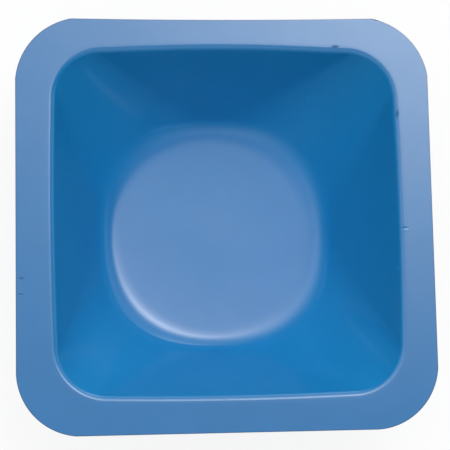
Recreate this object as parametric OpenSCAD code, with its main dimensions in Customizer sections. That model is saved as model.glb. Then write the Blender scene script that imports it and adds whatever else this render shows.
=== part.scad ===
// Square weighing boat: a shallow dish drawn from one thin plastic sheet. A flat flange runs
// round a rounded square opening, and the walls run from that opening down to a round flat
// floor. The sheet is one thickness all over.
//
// Everything between the floor and the flange is matched by the direction that it faces in
// plan. For each direction, the wall is the straight line that touches two arcs: the fillet
// that turns up out of the floor, and the rim's roll, at the point of the opening that faces
// that way. The underside is a true offset of the upper side.
//
// The flange is punched a little out of square. It is drawn about the middle of the floor, and
// then moved so that the origin is under the middle of the flange's box, on the surface that
// the boat stands on. The back is on the +Y side.

/* [Flange] */
// Distance from the middle of the floor to the right edge
right_reach = 44.5; // [42:0.1:48]
// Distance from the middle of the floor to the front edge
front_reach = 44.4; // [42:0.1:48]
// Distance from the middle of the floor to the left edge, at its front and back ends
left_reach = [44.8, 44.2]; // [42:0.1:48]
// Distance from the middle of the floor to the back edge, at its right and left ends
back_reach = [44.2, 43.8]; // [42:0.1:48]
// How far the back edge is hollowed inwards at its middle
back_hollow = 0.3; // [0:0.05:1]
// Back right corner: how far before and after the square corner its arc runs, and its radius
back_right_corner = [12.6, 11.9, 14.9]; // [11.5:0.1:16]
// Back left corner, in the same order
back_left_corner = [11.8, 13, 14.7]; // [11.5:0.1:16]
// Front left corner, in the same order
front_left_corner = [13.1, 12.4, 13.6]; // [11.5:0.1:16]
// Front right corner, in the same order
front_right_corner = [13.3, 12.8, 14]; // [11.5:0.1:16]

/* [Opening] */
// Width of the opening, from the middle of one side to the middle of the opposite one
opening_w = 75.9; // [70:0.1:80]
// Radius of the opening's corners
opening_corner_r = 11.5; // [8:0.1:16]
// Middle of the opening from the middle of the floor, to the right and to the back
opening_shift = [0.3, 0.2]; // [-1:0.1:1]
// Degrees that each side turns from its middle to the corner, which bows it outwards
side_turn = 1.8; // [0.5:0.1:5]
// How much further the back side bows out at its middle
back_bulge = 0.3; // [0:0.05:1]
// Radius of the roll from the flange into the wall, on the upper side
rim_r = 1.6; // [0.8:0.1:3]

/* [Floor] */
// Diameter of the flat part of the floor
floor_d = 43.6; // [36:0.2:48]
// Radius of the fillet from the floor into the wall, towards the middle of a side
side_fillet_r = 5; // [2:0.1:8]
// Radius of the same fillet, towards a corner
corner_fillet_r = 8; // [2:0.1:12]

/* [Sheet] */
// Height of the boat, from the surface that it stands on to the top of the flange
boat_h = 25; // [20:0.5:35]
// Thickness of the sheet
sheet_t = 0.25; // [0.2:0.05:0.6]

/* [Hidden] */

// Chords along one side, one corner, the floor's fillet and the rim's roll
side_steps = 4;
corner_steps = 16;
fillet_steps = 11;
rim_steps = 6;

// How far the hollow runs on above the flange, so that it cuts cleanly
cut_margin = 1;

// Plan of the opening: a shallow arc for each side, met smoothly by the corner's arc
side_bow = cos(side_turn) - sin(side_turn);
side_r = (opening_w / 2 - opening_corner_r * side_bow) / (1 - side_bow);
side_centre = opening_w / 2 - side_r;
opening_corner_centre = (side_r - opening_corner_r) * sin(side_turn);

// Plan of the flange: where its straight edges would meet, and how each corner is rounded.
// Corners and sides are numbered anticlockwise, and each side comes before its corner.
flange_square = [
    [right_reach, back_reach[0]],
    [-left_reach[1], back_reach[1]],
    [-left_reach[0], -front_reach],
    [right_reach, -front_reach]
];
flange_corners = [back_right_corner, back_left_corner, front_left_corner, front_right_corner];
flange_hollow = [0, back_hollow, 0, 0];

// Height of the middle of the rim's roll
rim_centre_z = boat_h - rim_r;

// Unit vector in plan, for a direction in degrees
function facing(angle) = [cos(angle), sin(angle)];

// Direction of a plan vector, in degrees
function direction(v) = atan2(v.y, v.x);

// A plan vector turned by a quarter, and by a number of quarters
function left_of(v) = [-v.y, v.x];
function quarter_turned(v, quarter) = quarter == 0 ? v : quarter_turned(left_of(v), quarter - 1);

// Share, from 0 to 1, by which a direction is towards a corner and not a side
function cornerness(angle) = pow(sin(2 * angle), 2);

// Extra bow of the back side, as a share of its half-length from the middle to the corner
function bulge(quarter, share) = quarter == 1 ? back_bulge * pow(1 - pow(share, 2), 2) : 0;

// Point of a side of the opening, for a share from -1 at its start to +1 at its end
function opening_side(quarter, share) =
    opening_shift
    + quarter_turned([side_centre + bulge(quarter, share), 0] + side_r * facing(side_turn * share),
                     quarter);

// Point of a corner of the opening, for a direction between its two sides
function opening_corner(quarter, angle) =
    opening_shift
    + quarter_turned([opening_corner_centre, opening_corner_centre]
                     + opening_corner_r * facing(angle), quarter);

// Point at a distance from one point towards another
function towards(from, to, distance) = from + distance * (to - from) / norm(to - from);

// Ends of a corner's arc, on the edge before it and the edge after it
function arc_start(quarter) =
    towards(flange_square[quarter], flange_square[(quarter + 3) % 4], flange_corners[quarter][0]);
function arc_end(quarter) =
    towards(flange_square[quarter], flange_square[(quarter + 1) % 4], flange_corners[quarter][1]);

// Point of a corner of the flange, as a share of the way round the arc through its two ends
function flange_corner(quarter, share) =
    let (start = arc_start(quarter),
         chord = arc_end(quarter) - start,
         r = flange_corners[quarter][2],
         half = asin(norm(chord) / 2 / r),
         centre = start + chord / 2 + r * cos(half) * left_of(chord) / norm(chord))
    centre + r * facing(direction(chord) - 90 + half * (2 * share - 1));

// Point of an edge of the flange, as a share of the way from the corner before it
function flange_side(quarter, share) =
    let (start = arc_end((quarter + 3) % 4),
         edge = arc_start(quarter) - start)
    start + share * edge
    + flange_hollow[quarter] * 4 * share * (1 - share) * left_of(edge) / norm(edge);

// The stations round the boat: [direction, point of the opening, point of the flange's edge]
stations = [
    for (quarter = [0:3]) each [
        for (i = [0:side_steps - 1])
            let (share = i / side_steps)
            [90 * quarter + side_turn * (2 * share - 1),
             opening_side(quarter, 2 * share - 1),
             flange_side(quarter, share)],
        for (i = [0:corner_steps - 1])
            let (share = i / corner_steps,
                 angle = side_turn + (90 - 2 * side_turn) * share)
            [90 * quarter + angle,
             opening_corner(quarter, angle),
             flange_corner(quarter, share)]
    ]
];

// Radius of the floor's fillet, and the height of its middle
function fillet_r(angle) = side_fillet_r + (corner_fillet_r - side_fillet_r) * cornerness(angle);
function fillet_centre_z(angle) = sheet_t + fillet_r(angle);

// Slope of the wall at a station: the line between the fillet and the roll that touches both
function wall_slope(station) =
    let (run = station[1] * facing(station[0]) - floor_d / 2,
         rise = rim_centre_z - fillet_centre_z(station[0]))
    atan2(rise, run) + asin((fillet_r(station[0]) + rim_r) / norm([run, rise]));

// A ring round the floor's fillet, a share of the way up it, at a depth below the upper side
function fillet_ring(share, depth) = [
    for (s = stations)
        let (r = fillet_r(s[0]) + depth,
             tilt = share * wall_slope(s),
             out = floor_d / 2 + r * sin(tilt))
        [out * cos(s[0]), out * sin(s[0]), fillet_centre_z(s[0]) - r * cos(tilt)]
];

// A ring round the rim's roll, a share of the way down it, at a depth below the upper side
function rim_ring(share, depth) = [
    for (s = stations)
        let (r = rim_r - depth,
             tilt = share * wall_slope(s),
             p = s[1] - r * sin(tilt) * facing(s[0]))
        [p.x, p.y, rim_centre_z + r * cos(tilt)]
];

// The flange's outer edge at a height
function flange_ring(z) = [for (s = stations) [s[2].x, s[2].y, z]];

// The opening's outline at a height
function opening_ring(z) = [for (s = stations) [s[1].x, s[1].y, z]];

// The sheet's rings at a depth below its upper side, from the floor up to the flange
function sheet_rings(depth) = [
    for (i = [0:fillet_steps]) fillet_ring(i / fillet_steps, depth),
    for (i = [rim_steps:-1:0]) rim_ring(i / rim_steps, depth)
];

// Middle of the flange's box in plan
edge_x = [for (s = stations) s[2].x];
edge_y = [for (s = stations) s[2].y];
box_centre = [min(edge_x) + max(edge_x), min(edge_y) + max(edge_y)] / 2;

// A closed solid through rings of equal length, listed upwards, with a flat cap at each end
module skin(rings) {
    n = len(rings[0]);
    last = (len(rings) - 1) * n;
    polyhedron(
        points = [for (ring = rings) each ring],
        faces = [
            [for (i = [0:n - 1]) i],
            for (k = [0:len(rings) - 2], i = [0:n - 1])
                let (j = (i + 1) % n,
                     low = k * n,
                     high = low + n)
                each [[low + i, high + i, high + j], [low + i, high + j, low + j]],
            [for (i = [n - 1:-1:0]) last + i]
        ]
    );
}

// The outside of the sheet as one solid block, up to the flange's upper face
module outside() {
    skin(concat(sheet_rings(sheet_t), [flange_ring(boat_h - sheet_t), flange_ring(boat_h)]));
}

// The hollow above the sheet
module hollow() {
    skin(concat(sheet_rings(0), [opening_ring(boat_h + cut_margin)]));
}

module weighing_boat() {
    color([0.10, 0.42, 0.68])
    translate([-box_centre.x, -box_centre.y, 0])
    difference() {
        outside();
        hollow();
    }
}

weighing_boat();
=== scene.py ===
"""A square weighing boat of thin blue polystyrene, on a pale floor in soft studio light.

The boat is one formed sheet, so it is one piece. Its surface is worked out in closed form, as the
CAD part's is, but on a finer grid: rings of points that run round the boat, from the middle of the
floor over its fillet, the wall, the rim's roll and the flange to the punched edge, and back below.
Every point of a ring is matched by the direction that it faces in plan. The floor and its fillet
differ a little from the CAD part's: the floor is dished, and the fillet stands slightly to one side.

Lengths are in metres, with MM for a millimetre. The shape is drawn about the middle of the floor and
then moved into the part's frame.
"""
import math

import bpy
import numpy as np
from mathutils import Matrix, Vector


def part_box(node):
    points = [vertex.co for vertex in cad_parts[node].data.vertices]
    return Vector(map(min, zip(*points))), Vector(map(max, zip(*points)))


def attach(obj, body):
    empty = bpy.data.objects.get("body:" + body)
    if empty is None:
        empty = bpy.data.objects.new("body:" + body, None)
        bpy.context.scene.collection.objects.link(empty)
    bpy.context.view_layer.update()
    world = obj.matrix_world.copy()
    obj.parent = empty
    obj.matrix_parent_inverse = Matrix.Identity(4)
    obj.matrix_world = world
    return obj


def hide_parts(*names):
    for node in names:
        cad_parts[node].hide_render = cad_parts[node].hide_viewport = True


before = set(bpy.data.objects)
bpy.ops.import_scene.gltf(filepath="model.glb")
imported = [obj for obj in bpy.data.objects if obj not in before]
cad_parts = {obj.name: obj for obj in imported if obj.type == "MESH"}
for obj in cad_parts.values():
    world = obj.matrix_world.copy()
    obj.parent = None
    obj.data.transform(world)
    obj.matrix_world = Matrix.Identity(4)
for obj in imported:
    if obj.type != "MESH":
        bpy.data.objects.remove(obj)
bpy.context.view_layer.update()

MM = 0.001
LOW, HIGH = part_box("weighing_boat")

# ---------------------------------------------------------------------------- dimensions
# Distances from the middle of the floor to the flange's edges. The left and back edges lean.
RIGHT_REACH = 44.5 * MM
FRONT_REACH = 44.4 * MM
LEFT_REACH_FRONT, LEFT_REACH_BACK = 44.8 * MM, 44.2 * MM
BACK_REACH_RIGHT, BACK_REACH_LEFT = 44.2 * MM, 43.8 * MM
BACK_HOLLOW = 0.3 * MM

# Each corner of the flange: how far before and after the square corner its arc runs, and its radius
FLANGE_CORNERS = np.array([
    [12.6, 11.9, 14.9],
    [11.8, 13.0, 14.7],
    [13.1, 12.4, 13.6],
    [13.3, 12.8, 14.0],
]) * MM

OPENING_W = 75.9 * MM
OPENING_CORNER_R = 11.5 * MM
OPENING_SHIFT = np.array([0.3, 0.2]) * MM
SIDE_TURN = math.radians(1.8)
BACK_BULGE = 0.3 * MM
RIM_R = 1.6 * MM

# The floor is flat in its middle and faintly dished round it. From EASE_R its slope grows faster,
# up to the slope where the fillet takes over. FLOOR_SHIFT is where the dish and the fillet have
# their middle.
FLAT_R = 4.0 * MM
EASE_R = 20.3 * MM
DISH_SLOPE = math.radians(2.7)
FILLET_CENTRE_R = 21.87 * MM
SIDE_FILLET_R, CORNER_FILLET_R = 5.0 * MM, 8.7 * MM
FILLET_START = math.radians(6)
FLOOR_SHIFT = np.array([-0.07, -0.20]) * MM
SHEET_T = 0.25 * MM

FLANGE_TOP = HIGH.z
BOWL = np.array([HIGH.x - RIGHT_REACH, LOW.y + FRONT_REACH, 0.0])

# The punch rolls the upper arris of the edge over, and leaves the lower one nearly sharp
ROLLOVER_W, ROLLOVER_H = 0.10 * MM, 0.08 * MM
BURR_R = 0.03 * MM

# How far in from the punched edge the colour is darkened, as painted shade of the rolled-over edge, and the
# gloss made rougher
SHADED_EDGE_W = 0.3 * MM

# How far forming drew the sheet out on the floor and on the walls, which is also how much of the walls'
# paler blue, partly painted light, the colour takes there. It didn't on the flange.
FLOOR_STRETCH_AND_LIGHT, WALL_STRETCH_AND_LIGHT = 0.08, 1.0

# Chords along one side and one corner of the opening
SIDE_STEPS = 60
CORNER_STEPS = 96

# Rings on each region of the upper side and of the underside
FLOOR_RINGS = (24, 14)
FILLET_RINGS = (22, 14)
WALL_RINGS = (12, 8)
ROLL_RINGS = (14, 10)
FLANGE_RINGS = (18, 8)
EDGE_STEPS = 5

# Power that crowds the floor's rings towards the fillet, and the flange's towards the edge
FLOOR_CROWDING = 1.5
FLANGE_CROWDING = 2


# ---------------------------------------------------------------------------- plan of the boat
def unit(angle):
    """The unit vector in plan that faces each angle."""
    return np.stack([np.cos(angle), np.sin(angle)], axis=-1)


def left_of(vectors):
    """Plan vectors turned a quarter to their left."""
    return np.stack([-vectors[..., 1], vectors[..., 0]], axis=-1)


def quarters(points):
    """Four copies of a row of plan points, each turned a quarter further about the middle."""
    turned = [points]
    for _ in range(3):
        turned.append(left_of(turned[-1]))
    return np.stack(turned)


def opening_outline():
    """Angles that the opening faces, and its points: four shallow arcs joined by four corner arcs.

    The arcs share their tangents, so a point is its arc's centre plus its radius along the facing.
    The back side bows out further, by the square of one less the squared share of its half-length."""
    bow = math.cos(SIDE_TURN) - math.sin(SIDE_TURN)
    side_r = (OPENING_W / 2 - OPENING_CORNER_R * bow) / (1 - bow)
    side_centre = np.array([OPENING_W / 2 - side_r, 0.0])
    corner_centre = np.full(2, (side_r - OPENING_CORNER_R) * math.sin(SIDE_TURN))
    share = 2 * np.arange(SIDE_STEPS) / SIDE_STEPS - 1
    along_side = SIDE_TURN * share
    along_corner = SIDE_TURN + (np.pi / 2 - 2 * SIDE_TURN) * np.arange(CORNER_STEPS) / CORNER_STEPS
    side = side_centre + side_r * unit(along_side)
    corner = corner_centre + OPENING_CORNER_R * unit(along_corner)
    points = quarters(np.concatenate([side, corner]))
    points[1, :SIDE_STEPS, 1] += BACK_BULGE * (1 - share**2)**2
    turn = np.concatenate([along_side, along_corner])
    angles = turn + np.arange(4)[:, None] * np.pi / 2
    return angles.ravel(), points.reshape(-1, 2) + OPENING_SHIFT


def flange_outline():
    """Points of the punched edge, one for each point of the opening.

    Four straight edges meet in a square that is a little out of true. A corner is the arc of its
    radius through two points, set back along the edges before and after it. A side lies evenly
    between the arcs beside it, and the back one is hollowed by four times the share of the way along
    it, times one less that share."""
    square = np.array([
        [RIGHT_REACH, BACK_REACH_RIGHT],
        [-LEFT_REACH_BACK, BACK_REACH_LEFT],
        [-LEFT_REACH_FRONT, -FRONT_REACH],
        [RIGHT_REACH, -FRONT_REACH],
    ])
    before = np.roll(square, 1, axis=0) - square
    after = np.roll(square, -1, axis=0) - square
    setback_before, setback_after, radius = FLANGE_CORNERS.T[..., None]
    start = square + setback_before * before / np.linalg.norm(before, axis=1, keepdims=True)
    end = square + setback_after * after / np.linalg.norm(after, axis=1, keepdims=True)

    chord = end - start
    length = np.linalg.norm(chord, axis=1, keepdims=True)
    half = np.arcsin(length / 2 / radius)
    centre = start + chord / 2 + radius * np.cos(half) * left_of(chord) / length
    middle = np.arctan2(chord[:, 1], chord[:, 0])[:, None] - np.pi / 2
    turn = 2 * np.arange(CORNER_STEPS) / CORNER_STEPS - 1
    corners = centre[:, None] + radius[..., None] * unit(middle + half * turn)

    last = np.roll(end, 1, axis=0)
    edge = start - last
    inward = left_of(edge) / np.linalg.norm(edge, axis=1, keepdims=True)
    share = (np.arange(SIDE_STEPS) / SIDE_STEPS)[:, None]
    hollow = np.array([0.0, BACK_HOLLOW, 0.0, 0.0])[:, None, None]
    sides = last[:, None] + share * edge[:, None] + hollow * 4 * share * (1 - share) * inward[:, None]
    return np.concatenate([sides, corners], axis=1).reshape(-1, 2)


def edge_normals(outline):
    """Outward normals of the punched edge in plan, from the chords on either side of each point."""
    along = np.roll(outline, -1, axis=0) - np.roll(outline, 1, axis=0)
    across = -left_of(along)
    return across / np.linalg.norm(across, axis=1, keepdims=True)


ANGLES, OPENING = opening_outline()
OUTLINE = flange_outline()
FACING = unit(ANGLES)
OUTWARD = edge_normals(OUTLINE)

# The fillet's radius at each station: the sine squared of twice its angle shares it between a side
# and a corner
FILLET_R = SIDE_FILLET_R + (CORNER_FILLET_R - SIDE_FILLET_R) * np.sin(2 * ANGLES)**2
FILLET_START_R = FILLET_CENTRE_R + FILLET_R * math.sin(FILLET_START)

# The dish's slope grows evenly with the way out, so it climbs by half its run times its last slope.
# The ease adds the rest of the slope with the square of the way out, and climbs by a third.
DISH_RUN = FILLET_START_R - FLAT_R
DISH_RISE = DISH_RUN * math.tan(DISH_SLOPE) / 2
EASE_RUN = FILLET_START_R - EASE_R
EASE_SLOPE = math.tan(FILLET_START) - math.tan(DISH_SLOPE)
EASE_RISE = EASE_RUN * EASE_SLOPE / 3
FILLET_CENTRE_Z = SHEET_T + DISH_RISE + EASE_RISE + FILLET_R * math.cos(FILLET_START)


# ---------------------------------------------------------------------------- rings of the surface
def wall_slopes():
    """Slope of the wall at each station: the line that touches the fillet's circle and the roll's.

    It is the slope from one centre to the other, plus the angle whose sine is the sum of the radii
    over the distance between the centres."""
    run = ((OPENING - FLOOR_SHIFT) * FACING).sum(axis=1) - FILLET_CENTRE_R
    rise = FLANGE_TOP - RIM_R - FILLET_CENTRE_Z
    return np.arctan2(rise, run) + np.arcsin((FILLET_R + RIM_R) / np.hypot(run, rise))


SLOPES = wall_slopes()


def ring(plan, height):
    """Points in space over plan points, at a height each."""
    z = np.broadcast_to(height, plan.shape[:-1])
    return np.concatenate([plan, z[..., None]], axis=-1)


def floor_rings(count, depth):
    """Rings from near the middle of the floor out to the fillet, over the flat, the dish and the ease.

    The slope is the dish's last slope times the way out over it, plus the ease's slope times the
    square of the way out over that. The rise has the next higher power of each."""
    share = (1 - (1 - np.arange(1, count + 1) / (count + 1))**FLOOR_CROWDING)[:, None]
    out = FILLET_START_R * share
    dish = np.clip((out - FLAT_R) / DISH_RUN, 0, 1)
    ease = np.clip((out - EASE_R) / EASE_RUN, 0, 1)
    tilt = np.arctan(math.tan(DISH_SLOPE) * dish + EASE_SLOPE * ease**2)
    rise = SHEET_T + DISH_RISE * dish**2 + EASE_RISE * ease**3 - depth * np.cos(tilt)
    return ring(FLOOR_SHIFT + (out + depth * np.sin(tilt))[..., None] * FACING, rise)


def fillet_rings(count, depth):
    """Arcs from the end of the floor's ease up to the wall's slope, at equal angles."""
    share = np.linspace(0, 1, count)[:, None]
    tilt = FILLET_START + (SLOPES - FILLET_START) * share
    r = FILLET_R + depth
    plan = FLOOR_SHIFT + (FILLET_CENTRE_R + r * np.sin(tilt))[..., None] * FACING
    return ring(plan, FILLET_CENTRE_Z - r * np.cos(tilt))


def roll_rings(count, depth):
    """Arcs over the rim, at equal angles from the wall's slope to level."""
    tilt = np.linspace(1, 0, count)[:, None] * SLOPES
    r = RIM_R - depth
    plan = OPENING - (r * np.sin(tilt))[..., None] * FACING
    return ring(plan, FLANGE_TOP - RIM_R + r * np.cos(tilt))


def wall_rings(count, depth):
    """Straight lines from the top of the fillet to the foot of the roll, in equal parts."""
    low = fillet_rings(2, depth)[-1]
    high = roll_rings(2, depth)[0]
    share = (np.arange(1, count + 1) / (count + 1))[:, None, None]
    return low * (1 - share) + high * share


def flange_rings(count, depth):
    """Straight lines across the flange, closing up towards where the punched edge turns down."""
    share = (1 - (1 - np.arange(1, count + 1) / count)**FLANGE_CROWDING)[:, None, None]
    plan = OPENING * (1 - share) + (OUTLINE - ROLLOVER_W * OUTWARD) * share
    return ring(plan, FLANGE_TOP - depth)


def edge_rings():
    """The punched edge: a quarter of an ellipse over its top, then a small quarter round below."""
    turn = np.linspace(0, np.pi / 2, EDGE_STEPS + 1)[1:, None]
    above = OUTLINE - (ROLLOVER_W * (1 - np.sin(turn)))[..., None] * OUTWARD
    below = OUTLINE - (BURR_R * (1 - np.sin(turn)))[::-1, :, None] * OUTWARD
    upper = ring(above, FLANGE_TOP - ROLLOVER_H * (1 - np.cos(turn)))
    lower = ring(below, FLANGE_TOP - SHEET_T + BURR_R * (1 - np.cos(turn))[::-1])
    return np.concatenate([upper, lower])


def side_rings(which, depth):
    """All the rings of one side of the sheet, from the middle of the floor to the flange's edge."""
    return np.concatenate([
        floor_rings(FLOOR_RINGS[which], depth),
        fillet_rings(FILLET_RINGS[which], depth),
        wall_rings(WALL_RINGS[which], depth),
        roll_rings(ROLL_RINGS[which], depth),
        flange_rings(FLANGE_RINGS[which], depth),
    ])


def stretch_and_light_shares(which):
    """How far forming drew the sheet out at each ring of one side, blended over the fillet and roll, which
    is also its share of painted light in the colour.
    """
    return np.concatenate([
        np.full(FLOOR_RINGS[which], FLOOR_STRETCH_AND_LIGHT),
        np.linspace(FLOOR_STRETCH_AND_LIGHT, WALL_STRETCH_AND_LIGHT, FILLET_RINGS[which]),
        np.full(WALL_RINGS[which], WALL_STRETCH_AND_LIGHT),
        np.linspace(WALL_STRETCH_AND_LIGHT, 0.0, ROLL_RINGS[which]),
        np.zeros(FLANGE_RINGS[which]),
    ])


def sheet_points():
    """Every ring of the closed sheet in order, and the two points in the middle of the floor."""
    upper = side_rings(0, 0.0)
    under = side_rings(1, SHEET_T)[::-1]
    rings = np.concatenate([upper, edge_rings(), under])
    poles = ring(np.stack([FLOOR_SHIFT, FLOOR_SHIFT]), np.array([SHEET_T, 0.0]))
    return rings, poles


def sheet_stretch_and_light(rings):
    """How far the sheet is drawn out at each ring, and so at each vertex and at the two poles, which also
    sets the share of painted light in its colour.
    """
    upper, under = stretch_and_light_shares(0), stretch_and_light_shares(1)[::-1]
    edge = np.zeros(len(rings) - len(upper) - len(under))
    along = np.concatenate([upper, edge, under])
    return np.concatenate([np.repeat(along, rings.shape[1]), along[[0, -1]]])


def sheet_shaded_edge(rings):
    """How far each vertex is into the shaded edge band, for painted shade and roughness: 1 at the punched
    edge, falling evenly to 0 inwards.
    """
    distance = np.linalg.norm(rings[..., :2] - OUTLINE, axis=-1)
    shaded_edge = np.clip(1 - distance / SHADED_EDGE_W, 0, 1)
    return np.concatenate([shaded_edge.ravel(), [0.0, 0.0]])


# ---------------------------------------------------------------------------- mesh
def closed_grid(rings, poles):
    """Vertices and faces of a closed skin: quads between rings, and a fan round each pole.

    The rings run anticlockwise seen from above and start on the upper side, so that a quad that
    takes the ring before, the ring after and the next point round faces out of the sheet."""
    count, around = rings.shape[:2]
    vertices = np.concatenate([rings.reshape(-1, 3), poles])
    here = np.arange(around)
    beside = (here + 1) % around
    row = (np.arange(count - 1) * around)[:, None]
    quads = np.stack([row + here, row + around + here, row + around + beside, row + beside], axis=-1)
    top = count * around
    last = (count - 1) * around
    first_fan = np.stack([np.full(around, top), here, beside], axis=-1)
    last_fan = np.stack([np.full(around, top + 1), last + beside, last + here], axis=-1)
    return vertices, quads.reshape(-1, 4), np.concatenate([first_fan, last_fan])


def make_mesh(name, vertices, quads, triangles):
    """A smooth-shaded mesh from arrays of vertices, quads and triangles."""
    mesh = bpy.data.meshes.new(name)
    mesh.vertices.add(len(vertices))
    mesh.vertices.foreach_set("co", vertices.astype(np.float32).ravel())
    corners = np.concatenate([quads.ravel(), triangles.ravel()]).astype(np.int32)
    sizes = np.concatenate([np.full(len(quads), 4), np.full(len(triangles), 3)])
    starts = np.concatenate([[0], np.cumsum(sizes)[:-1]]).astype(np.int32)
    mesh.loops.add(len(corners))
    mesh.loops.foreach_set("vertex_index", corners)
    mesh.polygons.add(len(sizes))
    mesh.polygons.foreach_set("loop_start", starts)
    mesh.polygons.foreach_set("use_smooth", np.ones(len(sizes), bool))
    mesh.update(calc_edges=True)
    mesh.validate()
    return mesh


def add_object(name, data):
    """A new object at the origin, in the scene's own collection."""
    made = bpy.data.objects.new(name, data)
    bpy.context.scene.collection.objects.link(made)
    return made


def set_attribute(mesh, name, values):
    """A value for each vertex, for the material to read."""
    mesh.attributes.new(name, "FLOAT", "POINT").data.foreach_set("value", values.astype(np.float32))


def make_boat():
    """The whole boat as one closed sheet, moved from the floor's middle to the part's frame."""
    rings, poles = sheet_points()
    vertices, quads, triangles = closed_grid(rings, poles)
    mesh = make_mesh("formed_sheet", vertices + BOWL, quads, triangles)
    # The share of the drawn, paler blue, which is partly painted light
    set_attribute(mesh, "stretch_and_painted_light", sheet_stretch_and_light(rings))
    # The band along the punched edge that gets painted shade and roughness
    set_attribute(mesh, "shaded_edge", sheet_shaded_edge(rings))
    return add_object("formed_sheet", mesh)


# ---------------------------------------------------------------------------- material nodes
def node(tree, kind, inputs, **settings):
    """A new node's outputs. Each input is a socket to link or a value to set."""
    made = tree.nodes.new(kind)
    for name, value in settings.items():
        setattr(made, name, value)
    for name, value in inputs.items():
        if isinstance(value, bpy.types.NodeSocket):
            tree.links.new(value, made.inputs[name])
        else:
            made.inputs[name].default_value = value
    return made.outputs


def combine(tree, operation, first, second):
    """Two values put together by a Math node."""
    return node(tree, "ShaderNodeMath", {0: first, 1: second}, operation=operation)[0]


def eased(tree, value, start, end, low, high):
    """A value's smooth step from low, where it is at the start, to high, where it is at the end."""
    inputs = {"Value": value, "From Min": start, "From Max": end, "To Min": low, "To Max": high}
    return node(tree, "ShaderNodeMapRange", inputs, interpolation_type="SMOOTHSTEP")[0]


def grain(tree, place, size, detail=2.0):
    """Soft noise about 0.5, with lumps of a size in metres."""
    return node(tree, "ShaderNodeTexNoise", {"Vector": place, "Scale": 1 / size, "Detail": detail})[0]


# ---------------------------------------------------------------------------- materials
# The sheet's colour where it is thick, on the flange, and where it is drawn thin, on the walls. The walls'
# paler blue is partly the thinner sheet and partly painted light, for light through the thin walls and fill
# that the lamps don't give.
THICK_BLUE = np.array([0.0064, 0.147, 0.388])
DRAWN_AND_LIT_BLUE = np.array([0.0064, 0.210, 0.500])
# How dark the colour is painted at the punched edge, as shade of the rolled-over edge
EDGE_PAINTED_SHADE = 0.55

# A soft gloss: a smoother coat over a rougher base, both of polystyrene's index
SATIN, SATIN_SPREAD = 0.55, 0.03
COAT, COAT_SATIN = 0.7, 0.14
BASE_GLOSS = 0.15
POLYSTYRENE_IOR = 1.59

# Slow changes of tone and of gloss over the sheet: the size of their lumps, and how far tone goes
TONE_SIZE, TONE_SPREAD = 9 * MM, 0.015
SATIN_SIZE = 3 * MM
NOISE_LOW, NOISE_HIGH = 0.3, 0.7

# Sizes and heights of the fine grain and of the slow waves in the sheet
GRAIN_SIZE, GRAIN_H = 0.35 * MM, 0.0012 * MM
WAVE_SIZE, WAVE_H = 11 * MM, 0.030 * MM

# A mark is sunk by its depth, darkens the colour by its share as painted shade in its dent, or lightens it
# for a pale one, and takes the coat down to its own.
# It is whole out to its core, and gone at its rim, as shares of its size.
MARK_DEPTH = 0.018 * MM
MARK_PAINTED_LIGHT, MARK_COAT = 0.30, 0.10
MARK_CORE, MARK_RIM = 0.4, 1.2

# Nicks, ticks and specks: where the middle of each is, in millimetres, the direction that it runs
# in degrees, its length and width in millimetres, and its strength, which is below 0 for a pale one.
# Each reaches MARK_REACH up and down, so it goes through the sheet.
MARK_REACH = 1.3 * MM
# A nick's or tick's darker colour is painted shade in its dent, where the gloss is broken
MARKS = {
    "back_rim_nick": (24.5, 38.0, 24.9, 5, 2.0, 0.8, 0.8),
    "right_rim_nick": (37.65, 23.3, 24.9, 85, 1.9, 0.9, 0.8),
    "right_flange_tick": (38.4, -1.45, 25.0, 0, 1.6, 0.5, 0.7),
    # The tick's pale edge is a painted highlight, the lit side of its groove
    "right_flange_tick_painted_highlight": (38.5, -2.0, 25.0, 0, 1.8, 0.5, -0.6),
    "left_edge_tick": (-43.3, -11.4, 25.0, 5, 1.5, 0.6, 0.65),
    "left_edge_tick_2": (-43.5, -14.7, 25.0, 5, 1.5, 0.5, 0.6),
    "back_edge_notch": (33.6, 44.1, 25.0, -12, 2.2, 0.8, 1.0),
    "corner_edge_nick": (40.2, 40.7, 25.0, -45, 1.0, 0.5, 1.0),
    "flange_speck": (31.2, 39.0, 25.0, 0, 0.6, 0.6, 0.3),
    "wall_speck": (20.6, 29.4, 12.3, 55, 0.8, 0.6, -0.55),
    "wall_speck_2": (19.6, 27.6, 9.7, 55, 0.6, 0.5, -0.4),
    "right_rim_speck": (36.8, -10.2, 24.6, 90, 0.9, 0.5, -0.9),
    "front_rim_speck": (-1.5, -37.3, 24.7, 20, 0.9, 0.4, 0.5),
    "left_rim_speck": (-36.6, 23.5, 24.6, 90, 0.5, 0.4, 0.4),
}


def mark(tree, place, values):
    """A soft spot: its strength at the middle, falling smoothly to nothing at its own ellipsoid."""
    x, y, z, angle, length, width, strength = values
    inputs = {
        "Vector": place,
        "Location": (x * MM, y * MM, z * MM),
        "Rotation": (0, 0, math.radians(angle)),
        "Scale": (length / 2 * MM, width / 2 * MM, MARK_REACH),
    }
    local = node(tree, "ShaderNodeMapping", inputs, vector_type="TEXTURE")[0]
    distance = node(tree, "ShaderNodeVectorMath", {0: local}, operation="LENGTH")["Value"]
    return eased(tree, distance, MARK_CORE, MARK_RIM, strength, 0.0)


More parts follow.
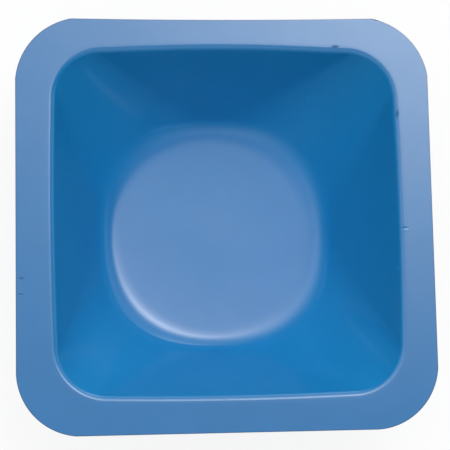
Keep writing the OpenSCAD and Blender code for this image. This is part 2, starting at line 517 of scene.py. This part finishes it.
def blue_polystyrene():
    """Satin blue polystyrene: an even colour, stronger where the sheet is drawn, partly as painted light,
    with painted shade at the punched edge and the marks, under a soft gloss.
    """
    material = bpy.data.materials.new("satin_blue_polystyrene")
    material.use_nodes = True
    tree = material.node_tree
    place = node(tree, "ShaderNodeTexCoord", {})["Object"]
    stretch_and_painted_light = node(tree, "ShaderNodeAttribute", {}, attribute_name="stretch_and_painted_light")["Fac"]
    shaded_edge = node(tree, "ShaderNodeAttribute", {}, attribute_name="shaded_edge")["Fac"]

    marks = 0.0
    for values in MARKS.values():
        marks = combine(tree, "ADD", marks, mark(tree, place, values))

    mottle = grain(tree, place, TONE_SIZE)
    # The walls' paler, drawn blue is partly painted light
    blue = node(tree, "ShaderNodeVectorMath", {0: stretch_and_painted_light, 1: DRAWN_AND_LIT_BLUE - THICK_BLUE, 2: THICK_BLUE},
                operation="MULTIPLY_ADD")[0]
    # Painted shade: darker along the punched edge and at the nicks and ticks, with a painted highlight on
    # the tick's lit edge; pale specks are lighter
    painted_shade_and_mark_tone = combine(tree, "MULTIPLY", eased(tree, shaded_edge, 0.0, 1.0, 1.0, EDGE_PAINTED_SHADE),
                   eased(tree, marks, -1.0, 1.0, 1 + MARK_PAINTED_LIGHT, 1 - MARK_PAINTED_LIGHT))
    coat = eased(tree, marks, 0.0, 1.0, COAT, MARK_COAT)
    cloudy = eased(tree, mottle, NOISE_LOW, NOISE_HIGH, 1 - TONE_SPREAD, 1 + TONE_SPREAD)
    tone = combine(tree, "MULTIPLY", cloudy, painted_shade_and_mark_tone)
    tinted = node(tree, "ShaderNodeVectorMath", {0: blue, "Scale": tone}, operation="SCALE")[0]

    satin = eased(tree, grain(tree, place, SATIN_SIZE), NOISE_LOW, NOISE_HIGH,
                  SATIN - SATIN_SPREAD, SATIN + SATIN_SPREAD)
    rough = combine(tree, "MAXIMUM", satin, combine(tree, "MAXIMUM", shaded_edge, marks))

    fine = combine(tree, "MULTIPLY", grain(tree, place, GRAIN_SIZE), GRAIN_H)
    slow = combine(tree, "MULTIPLY", grain(tree, place, WAVE_SIZE, 1.0), WAVE_H)
    pitted = combine(tree, "MULTIPLY", marks, MARK_DEPTH)
    height = combine(tree, "SUBTRACT", combine(tree, "ADD", fine, slow), pitted)
    relief = node(tree, "ShaderNodeBump", {"Strength": 1.0, "Distance": 1.0, "Height": height})[0]

    shader = tree.nodes["Principled BSDF"]
    tree.links.new(tinted, shader.inputs["Base Color"])
    tree.links.new(rough, shader.inputs["Roughness"])
    tree.links.new(coat, shader.inputs["Coat Weight"])
    tree.links.new(relief, shader.inputs["Normal"])
    tree.links.new(relief, shader.inputs["Coat Normal"])
    shader.inputs["IOR"].default_value = POLYSTYRENE_IOR
    shader.inputs["Specular IOR Level"].default_value = BASE_GLOSS
    shader.inputs["Coat Roughness"].default_value = COAT_SATIN
    shader.inputs["Coat IOR"].default_value = POLYSTYRENE_IOR
    return material


def ray_kinds(tree):
    """1 for the rays that come from the camera, and 1 for those off gloss or through glass."""
    path = node(tree, "ShaderNodeLightPath", {})
    reflected = combine(tree, "MAXIMUM", path["Is Glossy Ray"], path["Is Transmission Ray"])
    return path["Is Camera Ray"], reflected


def pale_floor():
    """A white bench top that keeps a soft shadow, and shows mostly as plain white."""
    material = bpy.data.materials.new("pale_floor")
    material.use_nodes = True
    tree = material.node_tree
    matt = tree.nodes["Principled BSDF"]
    matt.inputs["Base Color"].default_value = (BENCH_WHITE, BENCH_WHITE, BENCH_WHITE, 1)
    matt.inputs["Roughness"].default_value = BENCH_ROUGHNESS
    share = combine(tree, "MULTIPLY", combine(tree, "MAXIMUM", *ray_kinds(tree)), FLOOR_GLOW)
    glow = node(tree, "ShaderNodeEmission", {"Strength": 1.0})[0]
    mixed = node(tree, "ShaderNodeMixShader", {0: share, 1: matt.outputs[0], 2: glow})[0]
    tree.links.new(mixed, tree.nodes["Material Output"].inputs["Surface"])
    return material


# ---------------------------------------------------------------------------- camera, floor and light
CAMERA_PLACE = Vector((-47.0, -46.67, 400.2)) * MM
CAMERA_TARGET = Vector((-0.365, -0.543, 25.0)) * MM
CAMERA_ROLL = math.radians(1.36)
CAMERA_LENS = 144.0
CAMERA_SENSOR = 36.0
CAMERA_NEAR, CAMERA_FAR = 10 * MM, 50.0

BENCH_WHITE, BENCH_ROUGHNESS = 0.9, 0.9
FLOOR_GLOW = 0.88
FLOOR_HALF_W = 6.0
FLOOR_GAP = 0.02 * MM

# The room's soft lights, as smooth pools on its walls and ceiling. Each has its azimuth from +X, its
# angle from the zenith and the angle at which it has half its strength, in degrees, and its radiance.
LIGHTS = {
    "key": (50, 25, 9, 10.5),
    "back_fill": (90, 30, 15, 3.0),
    "left_fill": (150, 30, 20, 1.8),
    "front_fill": (270, 35, 25, 1.1),
    "horizon": (70, 75, 10, 3.0),
}

# Gloss sees the white backdrop, which stands behind the boat and to its right. It comes in between
# these cosines from the level direction of its middle.
BACKDROP_AZIMUTH = math.radians(45)
BACKDROP_FROM, BACKDROP_TO = 0.45, 0.85


def make_camera():
    """The camera looks at a point with +Y up in the view, then turns by its roll about the view's axis."""
    data = bpy.data.cameras.new("camera")
    data.lens = CAMERA_LENS
    data.sensor_width = CAMERA_SENSOR
    data.clip_start = CAMERA_NEAR
    data.clip_end = CAMERA_FAR
    camera = add_object("camera", data)
    forward = (CAMERA_TARGET - CAMERA_PLACE).normalized()
    level = forward.cross(Vector((0, 1, 0))).normalized()
    down = forward.cross(level)
    right = level * math.cos(CAMERA_ROLL) + down * math.sin(CAMERA_ROLL)
    up = right.cross(forward)
    turn = Matrix((right, up, -forward)).transposed()
    camera.matrix_world = Matrix.Translation(CAMERA_PLACE) @ turn.to_4x4()
    bpy.context.scene.camera = camera


def make_floor():
    """A wide level floor, a hair below the boat."""
    w = FLOOR_HALF_W
    corners = np.array([[-w, -w, -FLOOR_GAP], [w, -w, -FLOOR_GAP], [w, w, -FLOOR_GAP], [-w, w, -FLOOR_GAP]])
    mesh = make_mesh("bench", corners, np.array([[0, 1, 2, 3]]), np.zeros((0, 3), int))
    mesh.materials.append(pale_floor())
    add_object("bench", mesh)


def pool(tree, towards, values):
    """A pool of light: its radiance times the exponential of its tightness times (cosine - 1)."""
    azimuth, zenith, half, radiance = values
    a, z = math.radians(azimuth), math.radians(zenith)
    middle = (math.sin(z) * math.cos(a), math.sin(z) * math.sin(a), math.cos(z))
    tightness = math.log(2) / (1 - math.cos(math.radians(half)))
    cosine = node(tree, "ShaderNodeVectorMath", {0: towards, 1: middle}, operation="DOT_PRODUCT")["Value"]
    fall = combine(tree, "MULTIPLY", combine(tree, "SUBTRACT", cosine, 1.0), tightness)
    return combine(tree, "MULTIPLY", combine(tree, "EXPONENT", fall, 0.0), radiance)


def make_world():
    """A dim room with soft lights, which is a white backdrop to the camera and, low down, to gloss."""
    world = bpy.data.worlds.new("studio")
    world.use_nodes = True
    tree = world.node_tree
    towards = node(tree, "ShaderNodeTexCoord", {})["Generated"]
    room = 0.0
    for values in LIGHTS.values():
        room = combine(tree, "ADD", room, pool(tree, towards, values))

    camera, reflected = ray_kinds(tree)
    middle = (math.cos(BACKDROP_AZIMUTH), math.sin(BACKDROP_AZIMUTH), 0)
    cosine = node(tree, "ShaderNodeVectorMath", {0: towards, 1: middle}, operation="DOT_PRODUCT")["Value"]
    backdrop = eased(tree, cosine, BACKDROP_FROM, BACKDROP_TO, 0.0, 1.0)
    room = combine(tree, "ADD", room, combine(tree, "MULTIPLY", reflected, backdrop))
    seen = {"Factor": camera, "A": room, "B": 1.0}
    sky = tree.nodes["Background"]
    tree.links.new(node(tree, "ShaderNodeMix", seen)[0], sky.inputs["Strength"])
    sky.inputs["Color"].default_value = (1, 1, 1, 1)
    bpy.context.scene.world = world


# ---------------------------------------------------------------------------- the scene
make_camera()
make_floor()
make_world()

boat = make_boat()
boat.data.materials.append(blue_polystyrene())
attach(boat, "root")
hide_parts("weighing_boat")

bpy.context.scene.view_settings.view_transform = "Standard"
